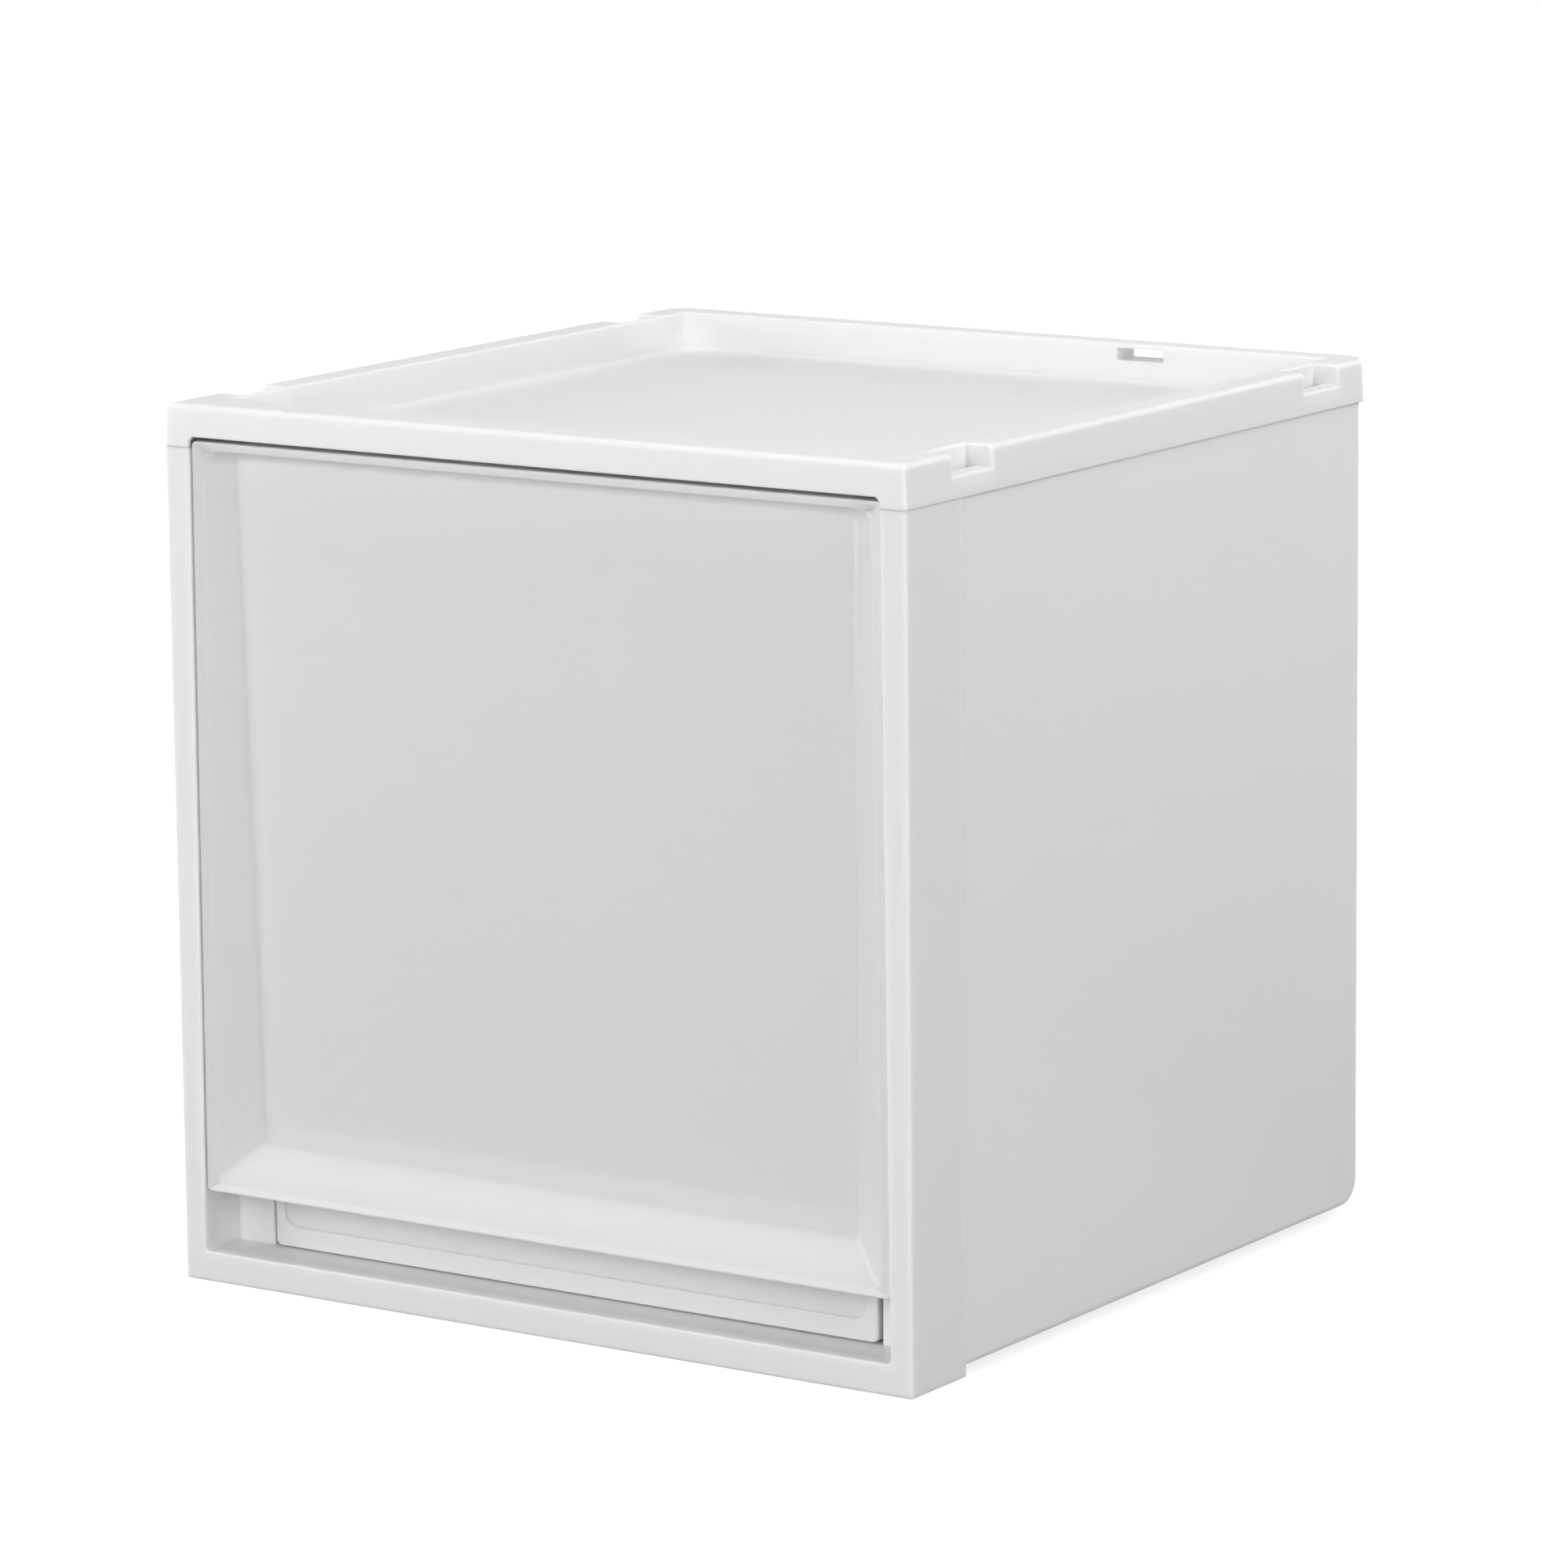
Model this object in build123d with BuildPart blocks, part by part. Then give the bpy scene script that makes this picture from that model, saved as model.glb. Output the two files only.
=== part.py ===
"""Stacking storage box with one pull-out drawer.

Millimetres. +Z is up, the front faces -Y, and the origin is the centre of the footprint.
Depths are measured back from the front face of the box.
"""

import os
from math import atan, degrees, hypot

from build123d import *

# Overall size of the box
case_width = 372.0
case_depth = 379.4
case_height = 380.0

# Wall thicknesses
frame_wall = 2.0
shell_wall = 2.4
top_wall = 2.2
bin_wall = 2.2
cover_wall = 2.0
runner_wall = 2.2

# Front frame: posts that narrow downwards, a sill and a deep collar
sill_height = 13.0
post_width_low = 10.4
post_width_high = 12.4
collar_depth = 41.0
recess_depth = 24.0
opening_corner = 2.0
inner_ledge_low = 29.8
inner_ledge_high = 27.6
outer_edge_radius = 1.5
soft_edge_radius = 0.7
ledge_edge_radius = 0.9
sill_rib_count = 5

# Body shell
collar_step = 0.8
base_gap = 3.7
rear_overhang = 12.4
shell_low_corner = 12.0
shell_edge_radius = 3.2
tongue_length = 11.0
tongue_height = 2.4
tongue_rebate = 1.4
seat_clearance = 0.2
base_rib_inset = 12.0
base_rib_width = 3.0
base_rib_rear_gap = 18.0
base_rib_corner = 8.0
buffer_spacing = 200.0
buffer_width = 2.4
buffer_length = 12.3
buffer_low = 30.0
buffer_height = 80.0

# Top frame: a tray with a raised rim
front_rim = 24.0
side_rim = 16.5
rear_rim = 15.5
tray_depth = 16.0
tray_floor_wall = 2.6
tray_corner = 3.0
tray_low_radius = 1.6
rim_edge_radius = 2.6
rim_draft = 3.2
seam_bevel = 0.35
rim_inner_bevel = 0.8
rear_plan_radius = 13.0
beam_height = 13.8
beam_chamfer = 2.0
header_drop = 5.8
ceiling_rib_drop = 3.0
ceiling_rib_spacing = 130.0

# Pockets in the side rims that take the clips between neighbouring boxes
pocket_length = 29.8
pocket_front_gap = 36.0
pocket_rear_gap = 32.6
pocket_lip = 8.7
pocket_drop = 9.0
pocket_floor_wall = 1.4
pocket_floor_clearance = 0.6
pocket_edge_radius = 1.4

# Slot through the rear rim
slot_centre = 74.6
slot_width = 23.8
slot_height = 5.4

# Runners under and beside the bin
runner_track_width = 18.0
runner_guide_height = 58.0

# Drawer bin
bin_floor_gap = 0.6
bin_headroom = 3.6
bin_side_gap = 1.8
bin_lead = 1.2
bin_rear_lean = 2.0
bin_front_radius = 1.0
bin_rear_radius = 8.0
bin_low_radius = 2.8
bin_rim_width = 0.8
bin_rim_height = 6.0
panel_step = 0.8
panel_margin_side = 4.7
panel_margin_low = 9.0
panel_margin_high = 12.0
panel_corner = 7.0
stop_tab_gap = 2.9
stop_tab_width = 40.0
stop_tab_spacing = 180.0
bin_sliding_gap = 0.3

# Drawer front: a dished cover whose lower lip is the finger pull
cover_setback = 1.7
cover_side_gap = 0.5
cover_top_gap = 2.0
finger_gap = 26.5
cover_corner = 2.0
flange_rim = 1.0
band_depth = 1.0
mouth_inset_side = 5.3
mouth_inset_high = 3.6
mouth_inset_low = 3.2
skirt_depth = 10.3
dish_depth_high = 10.0
dish_depth_low = 14.0
dish_drop = 4.7
dish_rise = 19.5
dish_side_slope = 1.6
dish_corner = 6.0
dish_floor_radius = 4.0
mount_ring_clearance = 1.0
mount_ring_rise = 8.0
mount_ring_corner = 10.0

# Drawer travel
drawer_travel = 270.0

# Values worked out from the ones above
half_width = case_width / 2
front_y = -case_depth / 2
inner_half_low = half_width - inner_ledge_low
inner_half_high = half_width - inner_ledge_high
rim_height = tray_depth + tray_floor_wall
seam_height = case_height - rim_height
beam_low = case_height - beam_height
header_low = seam_height - header_drop
shell_half = half_width - collar_step
shell_rear_depth = case_depth - rear_overhang
shell_inner_half = shell_half - shell_wall
shell_floor = base_gap + shell_wall
tongue_half = shell_half - tongue_rebate
top_tongue_half = half_width - top_wall - seat_clearance
tray_half = half_width - side_rim
pocket_reach = side_rim - top_wall - soft_edge_radius
tray_rear_depth = case_depth - rear_rim
bin_low = sill_height + bin_floor_gap
bin_high = header_low - bin_headroom
bin_rear_depth = shell_rear_depth - shell_wall - buffer_length - bin_sliding_gap - bin_rear_lean
runner_top = bin_low - bin_sliding_gap
bin_half_low = inner_half_low - bin_side_gap
bin_half_high = inner_half_high - bin_side_gap
tab_front_depth = bin_rear_depth + bin_rear_lean - bin_wall
stop_rib_rear = tab_front_depth - drawer_travel - bin_sliding_gap
cover_low = sill_height + finger_gap
cover_high = beam_low - cover_top_gap
dish_floor_low = cover_low + dish_rise
dish_floor_high = cover_high - dish_drop


def facing(depth):
    """Plane parallel to the front face, at a depth behind it; x stays x and y is height."""
    return Plane.XZ.offset(case_depth / 2 - depth)


def opening_half(height):
    """Half width of the front opening, which widens downwards as the posts narrow."""
    share = (height - sill_height) / (seam_height - sill_height)
    return half_width - post_width_low - share * (post_width_high - post_width_low)


def inner_half(height):
    """Half width of the inner opening, which the bin slides through."""
    share = (height - sill_height) / (seam_height - sill_height)
    return inner_half_low + share * (inner_half_high - inner_half_low)


def upright_outline(half_at, low, high, mode=Mode.ADD):
    """Symmetric outline between two heights, with its half width given by a function of height."""
    points = [(-half_at(low), low), (half_at(low), low), (half_at(high), high), (-half_at(high), high)]
    return Polygon(*points, align=None, mode=mode)


# Front frame: a hollow moulding, open at the rear, with a narrower inner opening
with BuildPart() as front_frame:
    with BuildSketch(facing(0)):
        with Locations((0, seam_height / 2)):
            Rectangle(case_width, seam_height)
        with BuildSketch(mode=Mode.SUBTRACT):
            upright_outline(opening_half, sill_height, seam_height)
            fillet(vertices().group_by(Axis.Y)[0], opening_corner)
    extrude(amount=-recess_depth)
    with BuildSketch(facing(recess_depth)):
        with Locations((0, seam_height / 2)):
            Rectangle(case_width, seam_height)
        with BuildSketch(mode=Mode.SUBTRACT):
            upright_outline(inner_half, sill_height, seam_height)
    extrude(amount=recess_depth - collar_depth)
    front_edges = front_frame.edges().group_by(Axis.Y)[0]
    outer_uprights = front_edges.filter_by(Axis.Z)
    fillet(outer_uprights, outer_edge_radius)
    rest_of_front = front_frame.faces().sort_by(Axis.Y)[0].edges()
    fillet(rest_of_front.filter_by(lambda e: e.center().Z < seam_height - 1), soft_edge_radius)
    ledges = front_frame.faces().filter_by(Axis.Y).group_by(Axis.Y)[1]
    fillet([f.edges().sort_by(lambda e: abs(e.center().X))[0] for f in ledges], ledge_edge_radius)
    rear_edges = front_frame.edges().group_by(Axis.Y)[-1].filter_by(Axis.Z)
    fillet(rear_edges.filter_by(lambda e: abs(e.center().X) > half_width - frame_wall), soft_edge_radius)
    # Hollow behind the front face, first round the recess and then round the inner opening
    with BuildSketch(facing(recess_depth + frame_wall)):
        with Locations((0, seam_height / 2)):
            Rectangle(case_width - 2 * frame_wall, seam_height - 2 * frame_wall)
        upright_outline(
            lambda z: opening_half(z) + frame_wall, sill_height - frame_wall, seam_height, Mode.SUBTRACT
        )
    extrude(amount=recess_depth, mode=Mode.SUBTRACT)
    with BuildSketch(facing(collar_depth)):
        with Locations((0, seam_height / 2)):
            Rectangle(case_width - 2 * frame_wall, seam_height - 2 * frame_wall)
        upright_outline(
            lambda z: inner_half(z) + frame_wall, sill_height - frame_wall, seam_height, Mode.SUBTRACT
        )
    extrude(amount=collar_depth - recess_depth - frame_wall, mode=Mode.SUBTRACT)
    # Ribs in the sill that carry the front edge of the shell's floor
    sill_rib_pitch = 2 * inner_half_low / (sill_rib_count - 1)
    with BuildSketch(facing(frame_wall)):
        with Locations((0, (frame_wall + base_gap) / 2)):
            with GridLocations(sill_rib_pitch, 0, sill_rib_count, 1):
                Rectangle(frame_wall, base_gap - frame_wall)
    extrude(amount=frame_wall - collar_depth)
front_frame.part.label = "front_frame"

# Body shell: sides, back and floor in one moulding, open at the front and the top
with BuildPart() as body_shell:
    shell_front_depth = collar_depth - tongue_length
    shell_top = seam_height + tongue_height
    with BuildSketch(Plane.YZ) as side_view:
        with BuildLine():
            Polyline(
                (front_y + shell_front_depth, base_gap),
                (front_y + shell_rear_depth, base_gap),
                (front_y + shell_rear_depth, shell_top),
                (front_y + shell_front_depth, shell_top),
                close=True,
            )
        make_face()
        low_rear = side_view.vertices().group_by(Axis.X)[-1].sort_by(Axis.Y)[0]
        fillet(low_rear, shell_low_corner)
    extrude(amount=shell_half, both=True)
    front_and_top = [body_shell.faces().sort_by(Axis.Y)[0], body_shell.faces().sort_by(Axis.Z)[-1]]
    side_outlines = body_shell.faces().filter_by(Axis.X).edges()
    open_edges = ShapeList(front_and_top[0].edges() + front_and_top[1].edges())
    fillet([e for e in side_outlines if e not in open_edges], shell_edge_radius)
    open_faces = [body_shell.faces().sort_by(Axis.Y)[0], body_shell.faces().sort_by(Axis.Z)[-1]]
    offset(amount=-shell_wall, openings=open_faces)
    # Thinner tongues: the front ones slip inside the collar, the top ones inside the rim
    collar_tongue_top = seam_height - frame_wall - seat_clearance
    with BuildSketch(facing(collar_depth)):
        with Locations((0, case_height / 2)):
            Rectangle(case_width, case_height)
        with Locations((0, collar_tongue_top / 2)):
            Rectangle(2 * tongue_half, collar_tongue_top, mode=Mode.SUBTRACT)
    extrude(amount=tongue_length, mode=Mode.SUBTRACT)
    top_tongue_length = tray_rear_depth - seat_clearance - collar_depth
    with BuildSketch(Plane.XY.offset(seam_height)):
        Rectangle(case_width, case_depth)
        with Locations((0, front_y + collar_depth + top_tongue_length / 2)):
            Rectangle(2 * top_tongue_half, top_tongue_length, mode=Mode.SUBTRACT)
    extrude(amount=tongue_height, mode=Mode.SUBTRACT)
    # Base rib, a low U that stands on the rim of the box below
    base_half = half_width - base_rib_inset
    base_length = shell_rear_depth - base_rib_rear_gap - collar_depth
    with BuildSketch(Plane.XY):
        with Locations((0, front_y + collar_depth + base_length / 2)):
            Rectangle(2 * base_half, base_length)
        with BuildSketch(mode=Mode.SUBTRACT) as base_inside:
            with Locations((0, front_y + collar_depth + (base_length - base_rib_width) / 2)):
                Rectangle(2 * (base_half - base_rib_width), base_length - base_rib_width)
            fillet(base_inside.vertices().group_by(Axis.Y)[-1], base_rib_corner)
    extrude(amount=base_gap)
    # Upright buffers inside the back that stop the drawer when it closes
    buffer_front = bin_rear_depth + bin_rear_lean + bin_sliding_gap
    with BuildSketch(facing(buffer_front)):
        with Locations((0, buffer_low + buffer_height / 2)):
            with GridLocations(buffer_spacing, 0, 2, 1):
                Rectangle(buffer_width, buffer_height)
    extrude(amount=buffer_front - shell_rear_depth + shell_wall / 2)
body_shell.part.label = "body_shell"

# Runners: a track under each edge of the bin and a guide wall beside it
runners = []
for side, name in ((-1, "left_runner"), (1, "right_runner")):
    with BuildPart() as runner:
        with BuildSketch(facing(collar_depth)):
            guide_x = side * (inner_half_low + runner_wall / 2)
            track_x = guide_x - side * (runner_track_width - runner_wall)
            track_z = runner_top - runner_wall / 2
            shelf_z = runner_top + runner_guide_height - runner_wall / 2
            with BuildLine():
                Polyline(
                    (track_x, shell_floor),
                    (track_x, track_z),
                    (guide_x, track_z),
                    (guide_x, shelf_z),
                    (side * shell_inner_half, shelf_z),
                )
            trace(line_width=runner_wall)
        extrude(amount=collar_depth - shell_rear_depth + shell_wall + shell_low_corner)
    runner.part.label = name
    runners.append(runner)

# Top frame: hollow rim round a tray, with clip pockets, a rear slot and a front beam
with BuildPart() as top_frame:
    with BuildSketch(Plane.XY.offset(seam_height)) as rim_plan:
        Rectangle(case_width, case_depth)
        fillet(rim_plan.vertices().group_by(Axis.Y)[-1], rear_plan_radius)
        fillet(rim_plan.vertices().group_by(Axis.Y)[0], outer_edge_radius)
    extrude(amount=rim_height, taper=rim_draft)
    fillet(top_frame.faces().sort_by(Axis.Z)[-1].edges(), rim_edge_radius)
    chamfer(top_frame.faces().sort_by(Axis.Z)[0].edges(), seam_bevel)
    # The tray
    tray_length = tray_rear_depth - front_rim
    tray_centre = front_y + front_rim + tray_length / 2
    with BuildSketch(Plane.XY.offset(case_height)):
        with Locations((0, tray_centre)):
            RectangleRounded(2 * tray_half, tray_length, tray_corner)
    extrude(amount=-tray_depth, mode=Mode.SUBTRACT)
    tray_edges = top_frame.edges(Select.LAST).group_by(Axis.Z)
    chamfer(tray_edges[-1], rim_inner_bevel)
    fillet(tray_edges[0], tray_low_radius)
    # Hollow inside the rim, open below
    with BuildSketch(Plane.XY.offset(seam_height)) as hollow_plan:
        Rectangle(case_width, case_depth)
        fillet(hollow_plan.vertices().group_by(Axis.Y)[-1], rear_plan_radius)
        offset(amount=-top_wall, mode=Mode.REPLACE)
        with Locations((0, tray_centre)):
            RectangleRounded(
                2 * (tray_half + top_wall), tray_length + 2 * top_wall, tray_corner, mode=Mode.SUBTRACT
            )
    extrude(amount=rim_height - top_wall, taper=rim_draft, mode=Mode.SUBTRACT)
    # Room for the drawer front under the beam, and a header down to the inner opening
    beam_half = half_width - post_width_high
    header_front = front_rim - top_wall
    with BuildSketch(facing(0)):
        with BuildLine():
            Polyline(
                (-beam_half, seam_height),
                (beam_half, seam_height),
                (beam_half, beam_low - beam_chamfer),
                (beam_half - beam_chamfer, beam_low),
                (beam_chamfer - beam_half, beam_low),
                (-beam_half, beam_low - beam_chamfer),
                close=True,
            )
        make_face()
    extrude(amount=-header_front, mode=Mode.SUBTRACT)
    with BuildSketch(facing(header_front)):
        with Locations((0, (header_low + seam_height) / 2)):
            Rectangle(2 * (beam_half - bin_sliding_gap), seam_height - header_low)
    extrude(amount=-top_wall)
    # Ribs under the tray, with a deeper one across it that stops the opened drawer
    with BuildSketch(Plane.XY.offset(seam_height)):
        with Locations((0, tray_centre)):
            with GridLocations(ceiling_rib_spacing, 0, 3, 1):
                Rectangle(top_wall, tray_length)
    extrude(amount=-ceiling_rib_drop)
    with BuildSketch(Plane.XY.offset(seam_height)):
        with Locations((0, front_y + stop_rib_rear - top_wall / 2)):
            Rectangle(2 * bin_half_low, top_wall)
    extrude(amount=header_low - seam_height)
    # Clip pockets: a housing inside the hollow rim, a notch open outwards and a slot behind its lip
    pocket_inner = half_width - pocket_reach
    lip_inner = half_width - pocket_lip
    pocket_floor = case_height - pocket_drop
    housing_low = seam_height + tongue_height + pocket_floor_clearance
    slot_floor = housing_low + pocket_floor_wall
    pocket_centres = [
        (side * (pocket_inner + half_width) / 2, front_y + depth)
        for side in (-1, 1)
        for depth in (
            pocket_front_gap + pocket_length / 2,
            case_depth - pocket_rear_gap - pocket_length / 2,
        )
    ]
    housing_half = (tray_half + half_width - frame_wall) / 2
    with BuildSketch(Plane.XY.offset(housing_low)):
        for x, y in pocket_centres:
            with Locations((housing_half if x > 0 else -housing_half, y)):
                Rectangle(side_rim - frame_wall, pocket_length + 2 * top_wall)
    extrude(amount=case_height - top_wall - housing_low)
    with BuildSketch(Plane.XY.offset(pocket_floor)):
        with Locations(*pocket_centres):
            Rectangle(pocket_reach, pocket_length)
    extrude(amount=pocket_drop, mode=Mode.SUBTRACT)
    notch_outline = top_frame.edges(Select.LAST).filter_by(
        lambda e: e.center().Z > case_height - rim_edge_radius
        or abs(e.center().X) > half_width - rim_edge_radius
    )
    fillet(notch_outline, pocket_edge_radius)
    with BuildSketch(Plane.XY.offset(pocket_floor)):
        for x, y in pocket_centres:
            slot_x = (pocket_inner + lip_inner) / 2
            with Locations((slot_x if x > 0 else -slot_x, y)):
                Rectangle(lip_inner - pocket_inner, pocket_length)
    extrude(amount=slot_floor - pocket_floor, mode=Mode.SUBTRACT)
    # Slot through the rear rim, lined by a sleeve
    slot_high = case_height - top_wall
    slot_low = slot_high - slot_height
    with BuildSketch(facing(tray_rear_depth + top_wall / 2)):
        with Locations((slot_centre, (slot_low - top_wall + slot_high) / 2)):
            Rectangle(slot_width + 2 * top_wall, slot_height + top_wall)
    extrude(amount=top_wall - rear_rim)
    with BuildSketch(facing(tray_rear_depth)):
        with Locations((slot_centre, (slot_low + slot_high) / 2)):
            RectangleRounded(slot_width, slot_height, soft_edge_radius)
    extrude(amount=-rear_rim, mode=Mode.SUBTRACT)
top_frame.part.label = "top_frame"

# Drawer bin: upright front wall, drafted sides and back, open at the top
bin_front_depth = recess_depth - bin_lead
bin_top_half = bin_half_low + (bin_half_high - bin_half_low) * (bin_high - bin_low) / seam_height


def bin_block(inset):
    """The bin's outer form, or its hollow when set in by the wall, run on past the rim."""
    top = bin_high + inset
    with BuildPart() as block:
        with BuildSketch(facing(bin_front_depth + inset)):
            Polygon(
                (inset - bin_half_low, bin_low + inset),
                (bin_half_low - inset, bin_low + inset),
                (bin_top_half - inset, top),
                (inset - bin_top_half, top),
                align=None,
            )
        extrude(amount=-case_depth)
        with BuildSketch(Plane.YZ):
            Polygon(
                (front_y, bin_low + inset),
                (front_y + bin_rear_depth - inset, bin_low + inset),
                (front_y + bin_rear_depth + bin_rear_lean - inset, top),
                (front_y, top),
                align=None,
            )
        extrude(amount=half_width, both=True, mode=Mode.INTERSECT)
        low_edges = block.faces().sort_by(Axis.Z)[0].edges()
        mouth_edges = block.faces().sort_by(Axis.Z)[-1].edges()
        uprights = ShapeList([e for e in block.edges() if e not in low_edges + mouth_edges])
        fillet(uprights.group_by(Axis.Y)[-1], bin_rear_radius - inset)
        front_edges = block.faces().sort_by(Axis.Y)[0].edges()
        low_edges = block.faces().sort_by(Axis.Z)[0].edges()
        fillet([e for e in low_edges if e not in front_edges], bin_low_radius - inset)
        front_edges = block.faces().sort_by(Axis.Y)[0].edges()
        mouth_edges = block.faces().sort_by(Axis.Z)[-1].edges()
        fillet([e for e in front_edges if e not in mouth_edges], bin_front_radius)
    return block.part


with BuildPart() as drawer_bin:
    add(bin_block(0))
    add(bin_block(bin_wall), mode=Mode.SUBTRACT)
    # Rim bead round the mouth
    bin_length = bin_rear_depth + bin_rear_lean - bin_front_depth
    bin_centre = front_y + bin_front_depth + bin_length / 2
    with BuildSketch(Plane.XY.offset(bin_high)) as rim_ring:
        with Locations((0, bin_centre)):
            Rectangle(2 * bin_top_half, bin_length)
        fillet(rim_ring.vertices().group_by(Axis.Y)[-1], bin_rear_radius)
        fillet(rim_ring.vertices().group_by(Axis.Y)[0], bin_front_radius)
        offset(amount=bin_rim_width, mode=Mode.REPLACE)
        offset(amount=-bin_rim_width - bin_wall / 2, kind=Kind.INTERSECTION, mode=Mode.SUBTRACT)
    extrude(amount=-bin_rim_height)
    # Shallow panel in the front wall, where the drawer front seats
    panel_half = bin_half_low - panel_margin_side
    with BuildSketch(facing(bin_front_depth)):
        with Locations((0, (bin_low + panel_margin_low + bin_high - panel_margin_high) / 2)):
            RectangleRounded(
                2 * panel_half, bin_high - bin_low - panel_margin_low - panel_margin_high, panel_corner
            )
    extrude(amount=-panel_step, mode=Mode.SUBTRACT)
    # Stop tabs on the back wall
    with BuildSketch(facing(tab_front_depth)):
        tab_low = bin_high - bin_rim_height
        tab_high = seam_height - stop_tab_gap
        with Locations((0, (tab_low + tab_high) / 2)):
            with GridLocations(stop_tab_spacing, 0, 2, 1):
                Rectangle(stop_tab_width, tab_high - tab_low)
    extrude(amount=-bin_wall)
drawer_bin.part.label = "drawer_bin"

# Drawer front: a dish with a tilted floor, a flange, a skirt and a ring that seats on the bin


def cover_half(height):
    """Half width of the drawer front's outline, which follows the front opening."""
    return opening_half(height) - cover_side_gap


def dish_solid(growth):
    """The dish's hollow, grown by a wall thickness; it runs forward past the flange."""
    side_shift = growth * hypot(1, dish_side_slope) - mouth_inset_side
    clear = cover_wall + soft_edge_radius
    mouth_depth = cover_setback + band_depth
    front_depth = cover_setback - clear
    top_slope = (cover_high - mouth_inset_high - dish_floor_high) / (dish_depth_high - mouth_depth)
    low_slope = (dish_floor_low - cover_low - mouth_inset_low) / (dish_depth_low - mouth_depth)
    front_high = cover_high - mouth_inset_high + top_slope * (mouth_depth - front_depth)
    front_low = cover_low + mouth_inset_low - low_slope * (mouth_depth - front_depth)
    with BuildPart() as dish:
        with BuildSketch(Plane.YZ):
            with BuildLine():
                Polyline(
                    (front_y + front_depth, front_high),
                    (front_y + dish_depth_high, dish_floor_high),
                    (front_y + dish_depth_low, dish_floor_low),
                    (front_y + front_depth, front_low),
                    close=True,
                )
            make_face()
            if growth > 0:
                offset(amount=growth, kind=Kind.INTERSECTION, mode=Mode.REPLACE)
        extrude(amount=half_width, both=True)
        with BuildSketch(facing(front_depth - clear)):
            upright_outline(
                lambda z: cover_half(z) + side_shift + (mouth_depth - front_depth + clear) * dish_side_slope,
                -case_height, 2 * case_height)
        extrude(amount=-collar_depth / 2, taper=degrees(atan(dish_side_slope)), mode=Mode.INTERSECT)
        floor_edges = dish.faces().sort_by(Axis.Y)[-1].edges()
        mouth = dish.faces().filter_by(Axis.Y).edges() + floor_edges
        fillet([e for e in dish.edges() if e not in mouth], dish_corner + growth)
        floor_face = dish.faces().filter_by(GeomType.PLANE).sort_by(Axis.Y)[-1]
        fillet(floor_face.edges(), dish_floor_radius + growth)
    return dish.part


with BuildPart() as drawer_front:
    add(dish_solid(cover_wall))
    with BuildSketch(facing(cover_setback)) as outline:
        upright_outline(cover_half, cover_low, cover_high)
        fillet(outline.vertices(), cover_corner)
    extrude(amount=-recess_depth, mode=Mode.INTERSECT)
    with BuildSketch(facing(cover_setback)):
        add(outline.sketch_local)
    extrude(amount=-cover_wall)
    with BuildSketch(facing(cover_setback)):
        add(outline.sketch_local)
        offset(outline.sketch_local, amount=-cover_wall, mode=Mode.SUBTRACT)
    extrude(amount=-skirt_depth)
    ring_half = panel_half - mount_ring_clearance
    ring_low = dish_floor_low + mount_ring_rise
    ring_high = bin_high - panel_margin_high - mount_ring_clearance
    with BuildSketch(facing(bin_front_depth + panel_step)):
        with Locations((0, (ring_low + ring_high) / 2)):
            RectangleRounded(2 * ring_half, ring_high - ring_low, mount_ring_corner)
            RectangleRounded(
                2 * (ring_half - cover_wall),
                ring_high - ring_low - 2 * cover_wall,
                mount_ring_corner - cover_wall,
                mode=Mode.SUBTRACT,
            )
    extrude(amount=bin_front_depth + panel_step - dish_depth_high)
    add(dish_solid(0), mode=Mode.SUBTRACT)
    # Band that slopes gently in from the flat rim to the dish's mouth, and on into the hollow
    with BuildSketch(facing(cover_setback)):
        upright_outline(lambda z: cover_half(z) - flange_rim, cover_low + flange_rim, cover_high - flange_rim)
    with BuildSketch(facing(cover_setback + 2 * band_depth)):
        upright_outline(
            lambda z: cover_half(z) + flange_rim - 2 * mouth_inset_side,
            cover_low - flange_rim + 2 * mouth_inset_low,
            cover_high + flange_rim - 2 * mouth_inset_high,
        )
    loft(mode=Mode.SUBTRACT)
    fillet(drawer_front.faces().sort_by(Axis.Y)[0].outer_wire().edges(), soft_edge_radius)
drawer_front.part.label = "drawer_front"

pieces = [front_frame, body_shell, top_frame, *runners, drawer_bin, drawer_front]
os.makedirs("parts", exist_ok=True)
for piece in pieces:
    export_step(piece.part, f"parts/{piece.part.label}.step")
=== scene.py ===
"""Looks for the drawer storage box: moulded white case, milky drawer front, frosted bin."""

from math import cos, radians, sin

import bpy
from mathutils import Matrix, Vector


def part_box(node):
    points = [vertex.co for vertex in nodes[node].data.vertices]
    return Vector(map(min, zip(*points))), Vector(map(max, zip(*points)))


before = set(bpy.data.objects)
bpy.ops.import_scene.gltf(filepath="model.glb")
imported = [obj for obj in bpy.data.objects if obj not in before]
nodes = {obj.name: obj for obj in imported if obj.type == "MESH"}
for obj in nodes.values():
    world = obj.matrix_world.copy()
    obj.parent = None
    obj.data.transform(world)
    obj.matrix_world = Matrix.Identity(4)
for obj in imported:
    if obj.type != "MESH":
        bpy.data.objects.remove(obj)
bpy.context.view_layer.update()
scene = bpy.context.scene

# Lengths are in metres. Noise scales are patterns per metre.
WHITE = (1, 1, 1, 1)
UP = Vector((0, 0, 1))

# Camera, fitted to the straight edges of the box in the photograph
IMAGE_HEIGHT = 1937
SENSOR_LONG_SIDE = 36.0
FOCAL_PIXELS = 8870.6
CAMERA_PLACE = Vector((1.7036, -2.5357, 0.7852))
CAMERA_AZIMUTH = radians(34.014)
CAMERA_TILT = radians(10.784)
CAMERA_ROLL = radians(-0.625)
CAMERA_REACH = 100

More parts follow.
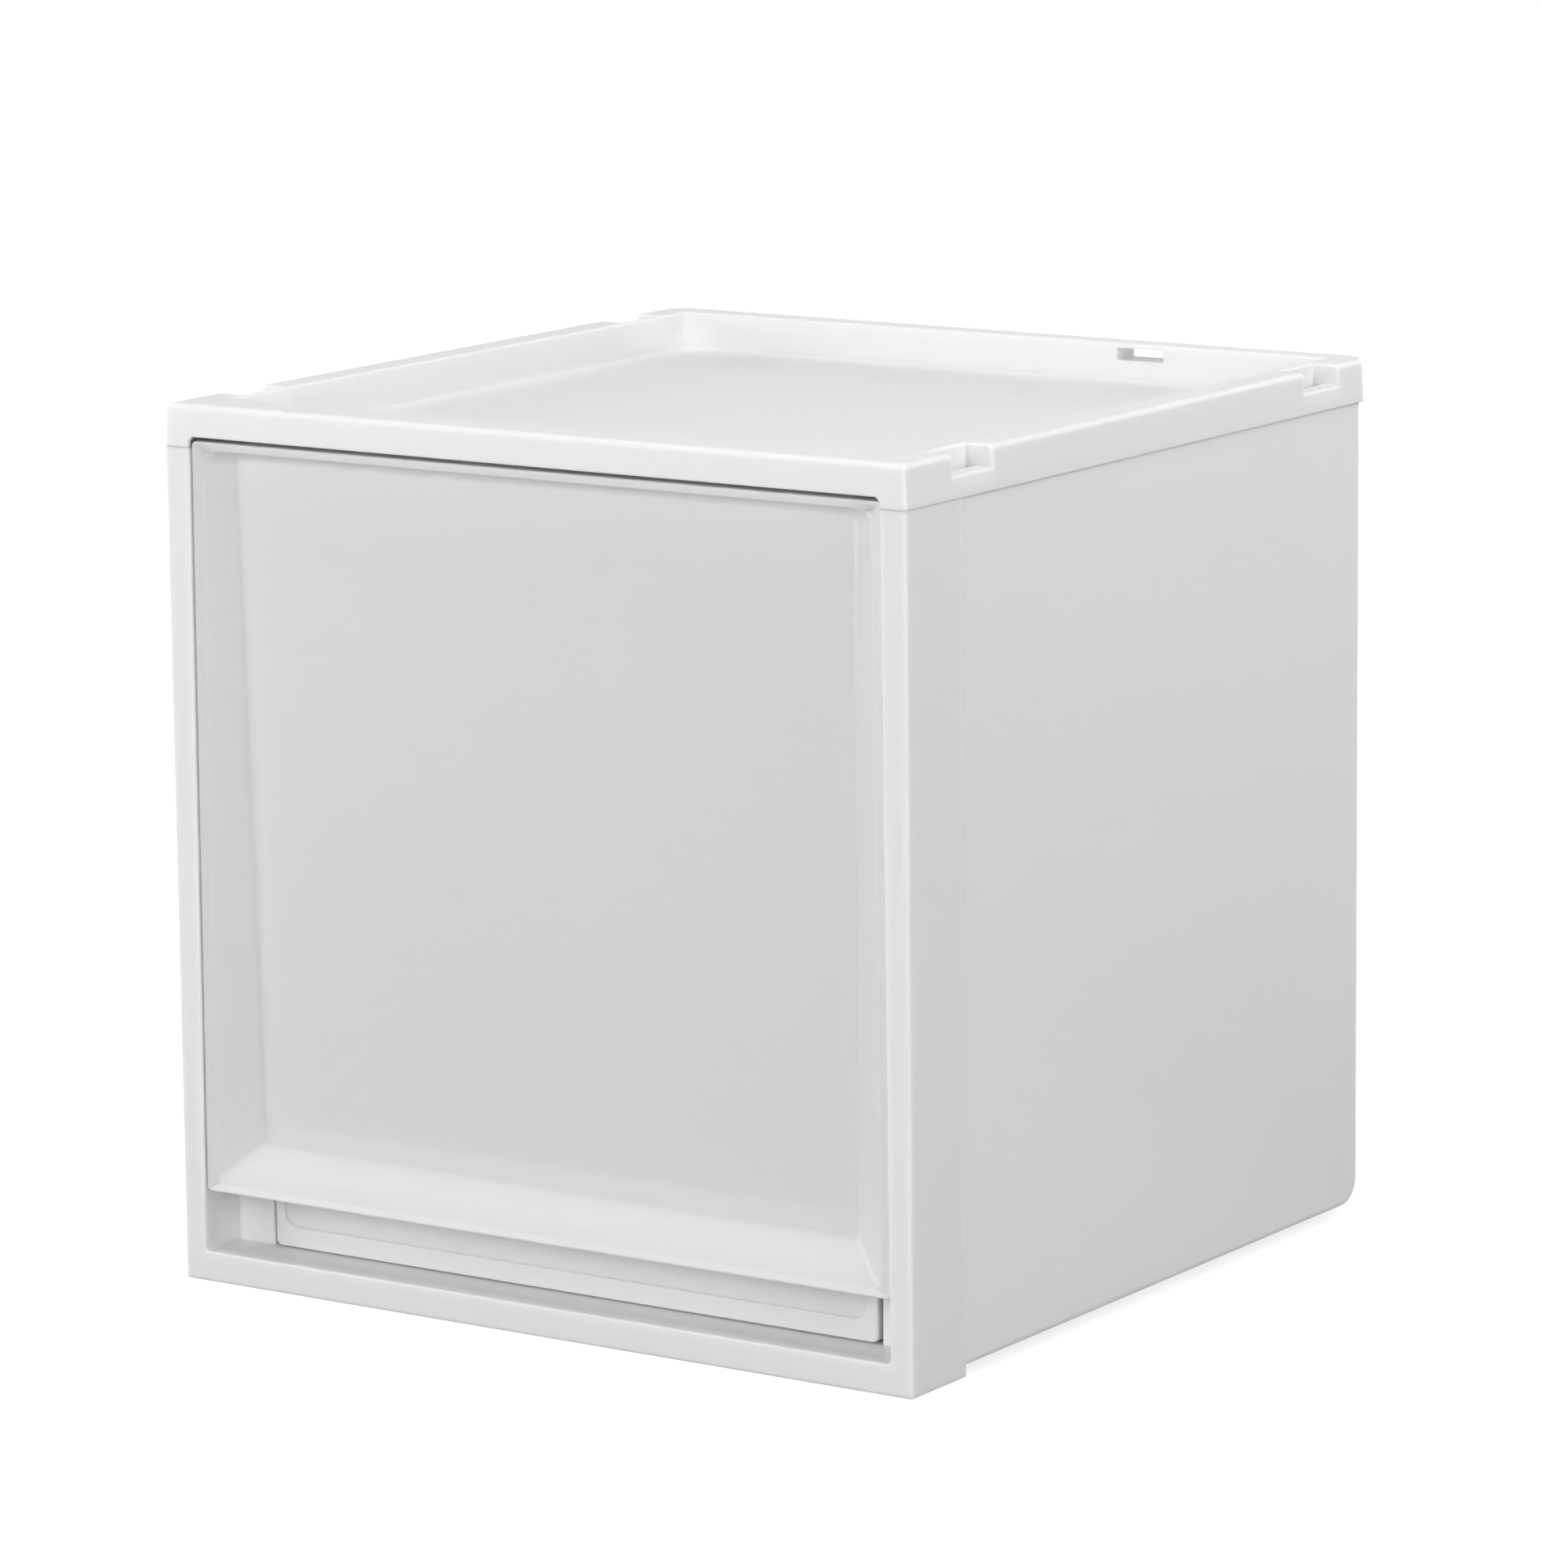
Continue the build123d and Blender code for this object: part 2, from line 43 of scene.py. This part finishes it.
# What all the plastics share
PLASTIC_IOR = 1.49
SCATTER_WEIGHT = 1.0
EVEN_SCATTER = (1, 1, 1)
NOISE_DETAIL = 3.0
CLOUD_SCALE = 7.0
CLOUD_START, CLOUD_END = 0.3, 0.7
CLOUD_DARKENING = 0.985
GLOSS_SCALE = 23.0
GLOSS_SPREAD = 0.04
GRAIN_SCALE = 900.0
GRAIN_DETAIL = 2.0
GRAIN_STRENGTH = 0.02
GRAIN_HEIGHT = 0.0005
EDGE_SOFTNESS = 0.0006
EDGE_SAMPLES = 6

# name, grey tone, roughness, depth that light goes into the wall, CAD nodes that it covers
PLASTICS = (
    ("case_white", 0.9, 0.4, 0.003, ("top_frame", "left_runner", "right_runner")),
    ("front_milky", 0.92, 0.35, 0.006, ("drawer_front",)),
    ("bin_frosted", 0.81, 0.35, 0.003, ("drawer_bin",)),
    # frame plastic: the same white as the case, with a painted highlight along its rear edge
    ("frame_white_painted_highlight", 0.9, 0.4, 0.003, ("front_frame",)),
    ("shell_white", 0.92, 0.42, 0.003, ("body_shell",)),
)
# Painted highlight along the front frame's rear edge: its width and its grey tone
PAINTED_HIGHLIGHT_WIDTH = 0.004
PAINTED_HIGHLIGHT_TONE = 0.98

# Floor: to the eye it glows a little less near the box, so that the soft shadow shows there
FLOOR_SIZE = 40
FLOOR_TONE = 0.28
FLOOR_ROUGHNESS = 0.9
GLOW_NEAR, GLOW_FAR = 0.78, 1.0
FADE_START, FADE_END = 0.25, 1.3
# The room looks white to the eye and gives no light of its own: the lamps give all of it
ROOM_LIGHT = 0.0

# name, place, size, power in watts
LAMPS = (
    ("front", (0.2, -3.0, 1.0), 1.6, 34),
    ("front_high", (-0.3, -1.3, 1.5), 0.8, 3.5),
    ("front_right", (1.5, -2.5, 0.5), 1.2, 8),
    ("left_low", (-2.4, -1.8, 0.4), 1.2, 31),
    ("left_back", (-3.0, 0.6, 0.5), 1.2, 23),
    ("right_low", (3.0, -0.8, 0.4), 1.2, 22),
    ("right_high", (1.6, 0.0, 1.5), 0.8, 12),
    ("top", (0.0, 0.0, 3.0), 2.0, 32),
    ("back", (0.2, 2.8, 0.5), 1.6, 52),
)
LAMP_AIM = Vector((0, 0, 0.19))


def make_camera():
    """Camera at the photograph's viewpoint, aimed by azimuth, tilt and roll."""
    back = Vector((
        sin(CAMERA_AZIMUTH) * cos(CAMERA_TILT),
        -cos(CAMERA_AZIMUTH) * cos(CAMERA_TILT),
        sin(CAMERA_TILT),
    ))
    right = (-back).cross(UP).normalized()
    up = right.cross(-back)
    rolled_right = cos(CAMERA_ROLL) * right + sin(CAMERA_ROLL) * up
    rolled_up = cos(CAMERA_ROLL) * up - sin(CAMERA_ROLL) * right
    data = bpy.data.cameras.new("camera")
    data.sensor_width = SENSOR_LONG_SIDE
    data.lens = FOCAL_PIXELS * SENSOR_LONG_SIDE / IMAGE_HEIGHT
    data.clip_end = CAMERA_REACH
    camera = bpy.data.objects.new("camera", data)
    scene.collection.objects.link(camera)
    camera.matrix_world = Matrix.Translation(CAMERA_PLACE) @ Matrix(
        (rolled_right, rolled_up, back)
    ).transposed().to_4x4()
    scene.camera = camera


def grey(tone):
    """Opaque colour of one grey tone."""
    return (tone, tone, tone, 1)


def new_material(name):
    """New material, with its node tree and its main shader."""
    material = bpy.data.materials.new(name)
    material.use_nodes = True
    tree = material.node_tree
    return material, tree, tree.nodes["Principled BSDF"]


def add_noise(tree, scale, detail=NOISE_DETAIL):
    """Noise that stays fixed to the object."""
    place = tree.nodes.new("ShaderNodeTexCoord")
    noise = tree.nodes.new("ShaderNodeTexNoise")
    noise.inputs["Scale"].default_value = scale
    noise.inputs["Detail"].default_value = detail
    tree.links.new(place.outputs["Object"], noise.inputs["Vector"])
    return noise.outputs["Fac"]


def cloudy_colour(tree, shader, tone):
    """Colour that is very slightly darker in soft clouds."""
    tint = tree.nodes.new("ShaderNodeValToRGB")
    dark, light = tint.color_ramp.elements
    dark.position, light.position = CLOUD_START, CLOUD_END
    dark.color, light.color = grey(tone * CLOUD_DARKENING), grey(tone)
    tree.links.new(add_noise(tree, CLOUD_SCALE), tint.inputs["Fac"])
    tree.links.new(tint.outputs["Color"], shader.inputs["Base Color"])


def uneven_gloss(tree, shader, roughness):
    """Roughness that wanders a little to both sides of its value."""
    gloss = tree.nodes.new("ShaderNodeMapRange")
    gloss.inputs["To Min"].default_value = roughness - GLOSS_SPREAD
    gloss.inputs["To Max"].default_value = roughness + GLOSS_SPREAD
    tree.links.new(add_noise(tree, GLOSS_SCALE), gloss.inputs["Value"])
    tree.links.new(gloss.outputs["Result"], shader.inputs["Roughness"])


def grained_skin(tree, shader):
    """Fine moulded grain, over edges that catch the light as if slightly rounded."""
    edge = tree.nodes.new("ShaderNodeBevel")
    edge.samples = EDGE_SAMPLES
    edge.inputs["Radius"].default_value = EDGE_SOFTNESS
    bump = tree.nodes.new("ShaderNodeBump")
    bump.inputs["Strength"].default_value = GRAIN_STRENGTH
    bump.inputs["Distance"].default_value = GRAIN_HEIGHT
    tree.links.new(add_noise(tree, GRAIN_SCALE, GRAIN_DETAIL), bump.inputs["Height"])
    tree.links.new(edge.outputs["Normal"], bump.inputs["Normal"])
    tree.links.new(bump.outputs["Normal"], shader.inputs["Normal"])


def plastic(name, tone, roughness, depth):
    """Moulded plastic, with light that goes some way into the wall."""
    material, tree, shader = new_material(name)
    shader.inputs["Subsurface Weight"].default_value = SCATTER_WEIGHT
    shader.inputs["Subsurface Radius"].default_value = EVEN_SCATTER
    shader.inputs["Subsurface Scale"].default_value = depth
    shader.inputs["IOR"].default_value = PLASTIC_IOR
    cloudy_colour(tree, shader, tone)
    uneven_gloss(tree, shader, roughness)
    grained_skin(tree, shader)
    return material


def paint_rear_edge_highlight(material, node_name):
    """Painted highlight: makes a plastic paler along a node's thin rear edge, standing in for the
    light line that the edge catches there.
    """
    tree = material.node_tree
    base = tree.nodes["Principled BSDF"].inputs["Base Color"]
    tint = base.links[0].from_socket
    rear_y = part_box(node_name)[1][1]
    place = tree.nodes.new("ShaderNodeTexCoord")
    axes = tree.nodes.new("ShaderNodeSeparateXYZ")
    tree.links.new(place.outputs["Object"], axes.inputs["Vector"])
    # painted highlight mask, rising to full at the rear edge
    highlight_mask = tree.nodes.new("ShaderNodeMapRange")
    highlight_mask.interpolation_type = "SMOOTHSTEP"
    highlight_mask.inputs["From Min"].default_value = rear_y - PAINTED_HIGHLIGHT_WIDTH
    highlight_mask.inputs["From Max"].default_value = rear_y
    tree.links.new(axes.outputs["Y"], highlight_mask.inputs["Value"])
    highlight_blend = tree.nodes.new("ShaderNodeMix")
    highlight_blend.data_type = "RGBA"
    highlight_blend.inputs["B"].default_value = grey(PAINTED_HIGHLIGHT_TONE)
    tree.links.new(highlight_mask.outputs["Result"], highlight_blend.inputs["Factor"])
    tree.links.new(tint, highlight_blend.inputs["A"])
    tree.links.new(highlight_blend.outputs["Result"], base)


def dress(node_name, material):
    """Puts one material on a CAD node."""
    slots = nodes[node_name].material_slots
    if not slots:
        nodes[node_name].data.materials.append(material)
    for slot in slots:
        slot.material = material


def dress_nodes():
    """Makes each plastic and puts it on the CAD nodes that it covers."""
    for name, tone, roughness, depth, covered in PLASTICS:
        material = plastic(name, tone, roughness, depth)
        for node_name in covered:
            dress(node_name, material)
    # paints a highlight along the front frame's rear edge
    paint_rear_edge_highlight(bpy.data.materials["frame_white_painted_highlight"], "front_frame")


def seen_by_eye(tree):
    """1 for a ray that the eye follows, straight or through gloss or glass, and 0 for the rest."""
    path = tree.nodes.new("ShaderNodeLightPath")
    total = path.outputs["Is Camera Ray"]
    for kind in ("Is Glossy Ray", "Is Transmission Ray"):
        larger = tree.nodes.new("ShaderNodeMath")
        larger.operation = "MAXIMUM"
        tree.links.new(total, larger.inputs[0])
        tree.links.new(path.outputs[kind], larger.inputs[1])
        total = larger.outputs["Value"]
    return total


def make_floor():
    """Pale floor that looks white to the eye and keeps the soft shadow of the box."""
    bpy.ops.mesh.primitive_plane_add(size=FLOOR_SIZE, location=(0, 0, 0))
    floor = bpy.context.object
    floor.name = "floor"
    material, tree, shader = new_material("floor_white")
    shader.inputs["Base Color"].default_value = grey(FLOOR_TONE)
    shader.inputs["Roughness"].default_value = FLOOR_ROUGHNESS
    shader.inputs["Emission Color"].default_value = WHITE
    place = tree.nodes.new("ShaderNodeTexCoord")
    reach = tree.nodes.new("ShaderNodeVectorMath")
    reach.operation = "LENGTH"
    tree.links.new(place.outputs["Object"], reach.inputs[0])
    fade = tree.nodes.new("ShaderNodeMapRange")
    fade.interpolation_type = "SMOOTHSTEP"
    fade.inputs["From Min"].default_value = FADE_START
    fade.inputs["From Max"].default_value = FADE_END
    fade.inputs["To Min"].default_value = GLOW_NEAR
    fade.inputs["To Max"].default_value = GLOW_FAR
    tree.links.new(reach.outputs["Value"], fade.inputs["Value"])
    glow = tree.nodes.new("ShaderNodeMath")
    glow.operation = "MULTIPLY"
    tree.links.new(fade.outputs["Result"], glow.inputs[0])
    tree.links.new(seen_by_eye(tree), glow.inputs[1])
    tree.links.new(glow.outputs["Value"], shader.inputs["Emission Strength"])
    floor.data.materials.append(material)


def make_room():
    """Room that looks white to the eye, and lights the box at its own level."""
    world = bpy.data.worlds.new("white_room")
    world.use_nodes = True
    scene.world = world
    tree = world.node_tree
    light = tree.nodes["Background"]
    light.inputs["Color"].default_value = WHITE
    light.inputs["Strength"].default_value = ROOM_LIGHT
    backdrop = tree.nodes.new("ShaderNodeBackground")
    backdrop.inputs["Color"].default_value = WHITE
    mix = tree.nodes.new("ShaderNodeMixShader")
    tree.links.new(seen_by_eye(tree), mix.inputs["Fac"])
    tree.links.new(light.outputs["Background"], mix.inputs[1])
    tree.links.new(backdrop.outputs["Background"], mix.inputs[2])
    tree.links.new(mix.outputs["Shader"], tree.nodes["World Output"].inputs["Surface"])


def make_lamps():
    """Large soft lamps aimed at the middle of the box."""
    for name, place, size, power in LAMPS:
        data = bpy.data.lights.new(name, "AREA")
        data.size = size
        data.energy = power
        lamp = bpy.data.objects.new(name, data)
        scene.collection.objects.link(lamp)
        lamp.location = place
        lamp.visible_camera = False
        lamp.rotation_mode = "QUATERNION"
        lamp.rotation_quaternion = (LAMP_AIM - Vector(place)).to_track_quat("-Z", "Y")


make_camera()
make_floor()
make_room()
make_lamps()
dress_nodes()

scene.view_settings.view_transform = "Standard"
